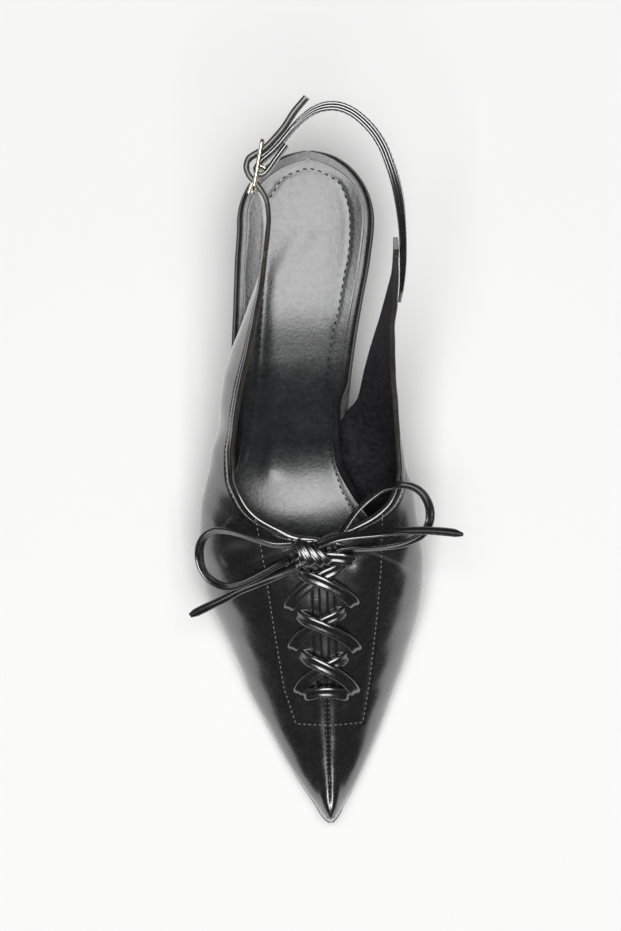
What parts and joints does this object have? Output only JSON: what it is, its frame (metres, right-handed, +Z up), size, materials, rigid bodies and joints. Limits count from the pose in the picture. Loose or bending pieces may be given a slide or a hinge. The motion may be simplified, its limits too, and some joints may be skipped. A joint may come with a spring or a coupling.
{
  "type": "slingback pump",
  "caption": "Pointed slingback pump with a low curved heel, a buckled heel strap, and a lace that crosses a slit in the vamp and ends in a bow.",
  "frame": {"origin": "middle of the heel tip's bottom face", "axes": "+Z up, -Y towards the toe, +X towards the wearer's big toe side, the medial side of a right shoe"},
  "size_m": [0.1042, 0.2681, 0.1155],
  "materials": {
    "upper": "semi-gloss black calf leather",
    "tongue": "dark lining leather",
    "insole": "dark grey lining leather",
    "sock": "dark grey lining leather, stitched",
    "outsole": "black dyed sole leather",
    "heel": "black leather cover over a hard heel",
    "heel_tip": "matt black hard rubber",
    "slingback_strap": "semi-gloss black calf leather",
    "buckle_frame": "bright pale gold plate",
    "buckle_prong": "bright pale gold plate",
    "lace_crossings": "folded black leather strip",
    "lace_knot": "folded black leather strip",
    "lace_loop_lateral": "folded black leather strip",
    "lace_loop_medial": "folded black leather strip",
    "lace_tail_lateral": "folded black leather strip",
    "lace_tail_medial": "folded black leather strip"
  },
  "bodies": {
    "root": {"upper": "upper", "tongue": "tongue", "insole": "insole", "sock": "sock", "outsole": "outsole", "heel": "heel", "heel_tip": "heel_tip", "slingback_strap": "slingback_strap", "buckle_frame": "buckle_frame", "buckle_prong": "buckle_prong", "lace_crossings": "lace_crossings", "lace_knot": "lace_knot", "lace_loop_lateral": "lace_loop_lateral", "lace_loop_medial": "lace_loop_medial", "lace_tail_lateral": "lace_tail_lateral", "lace_tail_medial": "lace_tail_medial"}
  },
  "joints": []
}
